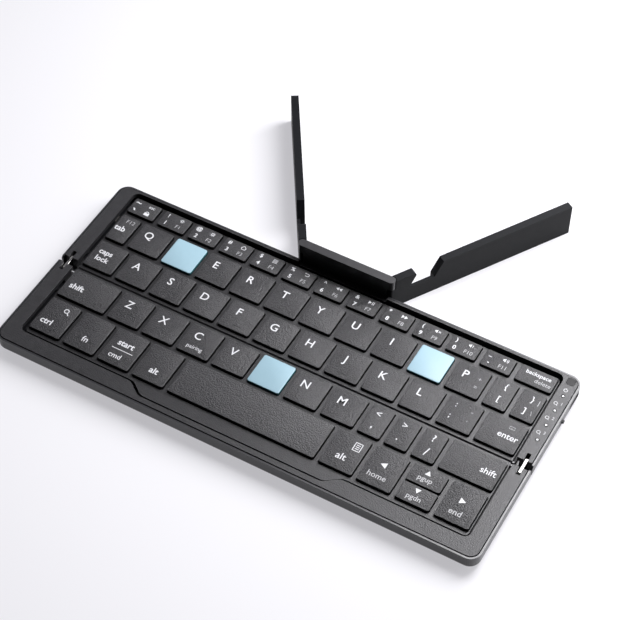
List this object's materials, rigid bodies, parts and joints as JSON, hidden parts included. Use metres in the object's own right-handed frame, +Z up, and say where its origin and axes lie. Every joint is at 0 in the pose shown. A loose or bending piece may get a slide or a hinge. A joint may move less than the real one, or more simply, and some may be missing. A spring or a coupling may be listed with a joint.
{
  "type": "folding keyboard",
  "caption": "Pocket keyboard whose two half cases fold together on link hinges, with a rear lip and two swing-out arms that hold a phone.",
  "frame": {"origin": "on the table under the middle of the whole footprint, with the arms open", "axes": "+X along the fold to the typist's right, +Y away from the typist towards the phone stand, +Z up"},
  "size_m": [0.2235, 0.1782, 0.0164],
  "materials": {
    "accent_plastic": "pale cyan keycap plastic",
    "battery_foil": "foil pouch",
    "black_plastic": "black plastic",
    "button_plastic": "grey button plastic",
    "case_plastic": "fine-grained satin black plastic",
    "circuit_board": "green solder mask on glass-epoxy board",
    "component_plastic": "black moulded component bodies",
    "deck_plastic": "satin dark grey plastic",
    "flex_film": "amber polyimide film",
    "frame_plastic": "fine-grained satin dark grey plastic",
    "key_plastic": "fine-grained dark grey keycap plastic",
    "light_pipe_clear": "clear acrylic",
    "magnet_steel": "nickel-plated magnet",
    "membrane_film": "printed polyester film",
    "polished_steel": "polished steel",
    "rubber": "black rubber",
    "scissor_plastic": "natural nylon",
    "screw_steel": "blackened steel",
    "sheet_steel": "plain sheet steel",
    "silicone": "milky silicone"
  },
  "bodies": {
    "rear_half": {"rear_tray": "case_plastic", "rear_frame": "frame_plastic", "rear_key_deck": "deck_plastic", "rear_support_plate": "sheet_steel", "rear_membrane": "membrane_film", "rear_domes": "silicone", "rear_scissors": "scissor_plastic", "rear_magnets": "magnet_steel", "rear_feet": "rubber", "rear_screws": "screw_steel", "main_board": "circuit_board", "board_components": "component_plastic", "indicator_board": "circuit_board", "battery": "battery_foil", "charging_port": "sheet_steel", "slide_switch": "sheet_steel", "light_pipes": "light_pipe_clear", "flex_cable": "flex_film", "stand_lip": "black_plastic", "stand_pins": "polished_steel"},
    "hinge_links": {"hinge_links": "polished_steel", "hinge_pins": "polished_steel"},
    "front_half": {"front_tray": "case_plastic", "front_frame": "frame_plastic", "front_key_deck": "deck_plastic", "front_support_plate": "sheet_steel", "front_membrane": "membrane_film", "front_domes": "silicone", "front_scissors": "scissor_plastic", "front_magnets": "magnet_steel", "front_feet": "rubber", "front_screws": "screw_steel"},
    "arm_right": {"stand_arm_right": "black_plastic"},
    "arm_left": {"stand_arm_left": "black_plastic"},
    "pairing_button": {"pairing_button": "button_plastic"},
    "switch_knob": {"slide_switch_knob": "black_plastic"},
    "escape_key": {"escape_key": "key_plastic"},
    "number_keys": {"number_keys": "key_plastic"},
    "backspace_key": {"backspace_key": "key_plastic"},
    "tab_key": {"tab_key": "key_plastic"},
    "accent_key_w": {"accent_key_w": "accent_plastic"},
    "accent_key_o": {"accent_key_o": "accent_plastic"},
    "upper_letter_keys": {"upper_letter_keys": "key_plastic"},
    "caps_lock_key": {"caps_lock_key": "key_plastic"},
    "home_letter_keys": {"home_letter_keys": "key_plastic"},
    "enter_key": {"enter_key": "key_plastic"},
    "left_shift_key": {"left_shift_key": "key_plastic"},
    "accent_key_b": {"accent_key_b": "accent_plastic"},
    "lower_letter_keys": {"lower_letter_keys": "key_plastic"},
    "right_shift_key": {"right_shift_key": "key_plastic"},
    "ctrl_key": {"ctrl_key": "key_plastic"},
    "fn_key": {"fn_key": "key_plastic"},
    "start_key": {"start_key": "key_plastic"},
    "left_alt_key": {"left_alt_key": "key_plastic"},
    "space_bar": {"space_bar": "key_plastic"},
    "right_alt_key": {"right_alt_key": "key_plastic"},
    "arrow_left_key": {"arrow_left_key": "key_plastic"},
    "arrow_up_key": {"arrow_up_key": "key_plastic"},
    "arrow_down_key": {"arrow_down_key": "key_plastic"},
    "arrow_right_key": {"arrow_right_key": "key_plastic"}
  },
  "joints": [
    {"name": "rear_fold", "type": "hinge", "parent": "rear_half", "child": "hinge_links", "pos_m": [0, -0.03623, 0.005], "axis": [-1, 0, 0], "range_deg": [0, 90], "deforming": ["flex_cable"]},
    {"name": "front_fold", "type": "hinge", "parent": "hinge_links", "child": "front_half", "pos_m": [0, -0.04283, 0.005], "axis": [-1, 0, 0], "range_deg": [0, 90]},
    {"name": "arm_right_swing", "type": "hinge", "parent": "rear_half", "child": "arm_right", "pos_m": [0.0213, 0.01222, 0.0082], "axis": [0, 0, -1], "range_deg": [0, 58]},
    {"name": "arm_left_swing", "type": "hinge", "parent": "rear_half", "child": "arm_left", "pos_m": [-0.0213, 0.01222, 0.0082], "axis": [0, 0, 1], "range_deg": [0, 58]},
    {"name": "pairing_press", "type": "slide", "parent": "rear_half", "child": "pairing_button", "axis": [0, 0, -1], "range_m": [0, 0.00025], "stiffness_N_per_m": 1200, "springref_m": -0.0006},
    {"name": "switch_slide", "type": "slide", "parent": "rear_half", "child": "switch_knob", "axis": [0, -1, 0], "range_m": [0, 0.0022]},
    {"name": "escape_key_press", "type": "slide", "parent": "rear_half", "child": "escape_key", "axis": [0, 0, -1], "range_m": [0, 0.0012], "stiffness_N_per_m": 250, "springref_m": -0.001, "deforming": ["rear_domes", "rear_scissors"]},
    {"name": "number_keys_press", "type": "slide", "parent": "rear_half", "child": "number_keys", "axis": [0, 0, -1], "range_m": [0, 0.0012], "stiffness_N_per_m": 2750, "springref_m": -0.001, "deforming": ["rear_domes", "rear_scissors"]},
    {"name": "backspace_key_press", "type": "slide", "parent": "rear_half", "child": "backspace_key", "axis": [0, 0, -1], "range_m": [0, 0.0012], "stiffness_N_per_m": 250, "springref_m": -0.001, "deforming": ["rear_domes", "rear_scissors"]},
    {"name": "tab_key_press", "type": "slide", "parent": "rear_half", "child": "tab_key", "axis": [0, 0, -1], "range_m": [0, 0.0012], "stiffness_N_per_m": 250, "springref_m": -0.001, "deforming": ["rear_domes", "rear_scissors"]},
    {"name": "accent_key_w_press", "type": "slide", "parent": "rear_half", "child": "accent_key_w", "axis": [0, 0, -1], "range_m": [0, 0.0012], "stiffness_N_per_m": 250, "springref_m": -0.001, "deforming": ["rear_domes", "rear_scissors"]},
    {"name": "accent_key_o_press", "type": "slide", "parent": "rear_half", "child": "accent_key_o", "axis": [0, 0, -1], "range_m": [0, 0.0012], "stiffness_N_per_m": 250, "springref_m": -0.001, "deforming": ["rear_domes", "rear_scissors"]},
    {"name": "upper_letter_keys_press", "type": "slide", "parent": "rear_half", "child": "upper_letter_keys", "axis": [0, 0, -1], "range_m": [0, 0.0012], "stiffness_N_per_m": 2500, "springref_m": -0.001, "deforming": ["rear_domes", "rear_scissors"]},
    {"name": "caps_lock_key_press", "type": "slide", "parent": "rear_half", "child": "caps_lock_key", "axis": [0, 0, -1], "range_m": [0, 0.0012], "stiffness_N_per_m": 250, "springref_m": -0.001, "deforming": ["rear_domes", "rear_scissors"]},
    {"name": "home_letter_keys_press", "type": "slide", "parent": "rear_half", "child": "home_letter_keys", "axis": [0, 0, -1], "range_m": [0, 0.0012], "stiffness_N_per_m": 2500, "springref_m": -0.001, "deforming": ["rear_domes", "rear_scissors"]},
    {"name": "enter_key_press", "type": "slide", "parent": "rear_half", "child": "enter_key", "axis": [0, 0, -1], "range_m": [0, 0.0012], "stiffness_N_per_m": 250, "springref_m": -0.001, "deforming": ["rear_domes", "rear_scissors"]},
    {"name": "left_shift_key_press", "type": "slide", "parent": "front_half", "child": "left_shift_key", "axis": [0, 0, -1], "range_m": [0, 0.0012], "stiffness_N_per_m": 250, "springref_m": -0.001, "deforming": ["front_domes", "front_scissors"]},
    {"name": "accent_key_b_press", "type": "slide", "parent": "front_half", "child": "accent_key_b", "axis": [0, 0, -1], "range_m": [0, 0.0012], "stiffness_N_per_m": 250, "springref_m": -0.001, "deforming": ["front_domes", "front_scissors"]},
    {"name": "lower_letter_keys_press", "type": "slide", "parent": "front_half", "child": "lower_letter_keys", "axis": [0, 0, -1], "range_m": [0, 0.0012], "stiffness_N_per_m": 2250, "springref_m": -0.001, "deforming": ["front_domes", "front_scissors"]},
    {"name": "right_shift_key_press", "type": "slide", "parent": "front_half", "child": "right_shift_key", "axis": [0, 0, -1], "range_m": [0, 0.0012], "stiffness_N_per_m": 250, "springref_m": -0.001, "deforming": ["front_domes", "front_scissors"]},
    {"name": "ctrl_key_press", "type": "slide", "parent": "front_half", "child": "ctrl_key", "axis": [0, 0, -1], "range_m": [0, 0.0012], "stiffness_N_per_m": 250, "springref_m": -0.001, "deforming": ["front_domes", "front_scissors"]},
    {"name": "fn_key_press", "type": "slide", "parent": "front_half", "child": "fn_key", "axis": [0, 0, -1], "range_m": [0, 0.0012], "stiffness_N_per_m": 250, "springref_m": -0.001, "deforming": ["front_domes", "front_scissors"]},
    {"name": "start_key_press", "type": "slide", "parent": "front_half", "child": "start_key", "axis": [0, 0, -1], "range_m": [0, 0.0012], "stiffness_N_per_m": 250, "springref_m": -0.001, "deforming": ["front_domes", "front_scissors"]},
    {"name": "left_alt_key_press", "type": "slide", "parent": "front_half", "child": "left_alt_key", "axis": [0, 0, -1], "range_m": [0, 0.0012], "stiffness_N_per_m": 250, "springref_m": -0.001, "deforming": ["front_domes", "front_scissors"]},
    {"name": "space_bar_press", "type": "slide", "parent": "front_half", "child": "space_bar", "axis": [0, 0, -1], "range_m": [0, 0.0012], "stiffness_N_per_m": 250, "springref_m": -0.001, "deforming": ["front_domes", "front_scissors"]},
    {"name": "right_alt_key_press", "type": "slide", "parent": "front_half", "child": "right_alt_key", "axis": [0, 0, -1], "range_m": [0, 0.0012], "stiffness_N_per_m": 250, "springref_m": -0.001, "deforming": ["front_domes", "front_scissors"]},
    {"name": "arrow_left_key_press", "type": "slide", "parent": "front_half", "child": "arrow_left_key", "axis": [0, 0, -1], "range_m": [0, 0.0012], "stiffness_N_per_m": 250, "springref_m": -0.001, "deforming": ["front_domes", "front_scissors"]},
    {"name": "arrow_up_key_press", "type": "slide", "parent": "front_half", "child": "arrow_up_key", "axis": [0, 0, -1], "range_m": [0, 0.0012], "stiffness_N_per_m": 250, "springref_m": -0.001, "deforming": ["front_domes", "front_scissors"]},
    {"name": "arrow_down_key_press", "type": "slide", "parent": "front_half", "child": "arrow_down_key", "axis": [0, 0, -1], "range_m": [0, 0.0012], "stiffness_N_per_m": 250, "springref_m": -0.001, "deforming": ["front_domes", "front_scissors"]},
    {"name": "arrow_right_key_press", "type": "slide", "parent": "front_half", "child": "arrow_right_key", "axis": [0, 0, -1], "range_m": [0, 0.0012], "stiffness_N_per_m": 250, "springref_m": -0.001, "deforming": ["front_domes", "front_scissors"]}
  ],
  "couplings": [
    {"joint": "front_fold", "follows": "rear_fold", "ratio": 1}
  ]
}
